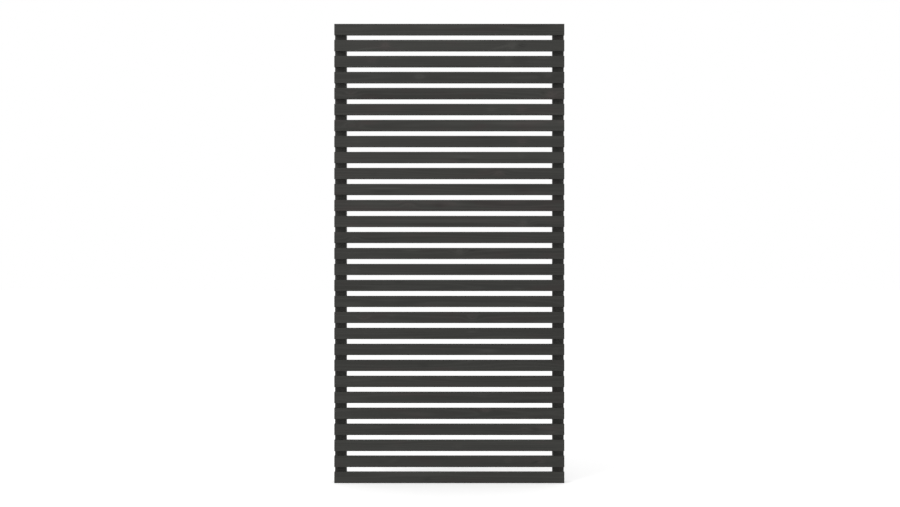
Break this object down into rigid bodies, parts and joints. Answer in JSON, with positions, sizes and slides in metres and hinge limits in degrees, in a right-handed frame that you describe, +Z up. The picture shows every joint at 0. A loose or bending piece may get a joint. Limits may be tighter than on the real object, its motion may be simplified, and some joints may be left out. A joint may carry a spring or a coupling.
{
  "type": "slatted fence panel",
  "caption": "Upright garden fence panel of horizontal timber slats with open gaps, screwed from behind to an upright batten at each end, in an anthracite stain.",
  "frame": {"origin": "middle of the panel's footprint, on the surface that its lower edge stands on", "axes": "+X to the right seen from the front, the slats' faces look towards -Y, +Z up"},
  "size_m": [0.9, 0.064, 1.7968],
  "materials": {
    "slat_timber": "planed softwood under a matt opaque anthracite stain",
    "batten_timber": "planed softwood under a matt opaque anthracite stain",
    "screw_steel": "plain stainless steel, satin"
  },
  "bodies": {
    "root": {"slat_01": "slat_timber", "slat_02": "slat_timber", "slat_03": "slat_timber", "slat_04": "slat_timber", "slat_05": "slat_timber", "slat_06": "slat_timber", "slat_07": "slat_timber", "slat_08": "slat_timber", "slat_09": "slat_timber", "slat_10": "slat_timber", "slat_11": "slat_timber", "slat_12": "slat_timber", "slat_13": "slat_timber", "slat_14": "slat_timber", "slat_15": "slat_timber", "slat_16": "slat_timber", "slat_17": "slat_timber", "slat_18": "slat_timber", "slat_19": "slat_timber", "slat_20": "slat_timber", "slat_21": "slat_timber", "slat_22": "slat_timber", "slat_23": "slat_timber", "slat_24": "slat_timber", "slat_25": "slat_timber", "slat_26": "slat_timber", "slat_27": "slat_timber", "slat_28": "slat_timber", "slat_29": "slat_timber", "left_batten": "batten_timber", "right_batten": "batten_timber", "left_batten_screws": "screw_steel", "right_batten_screws": "screw_steel"}
  },
  "joints": []
}
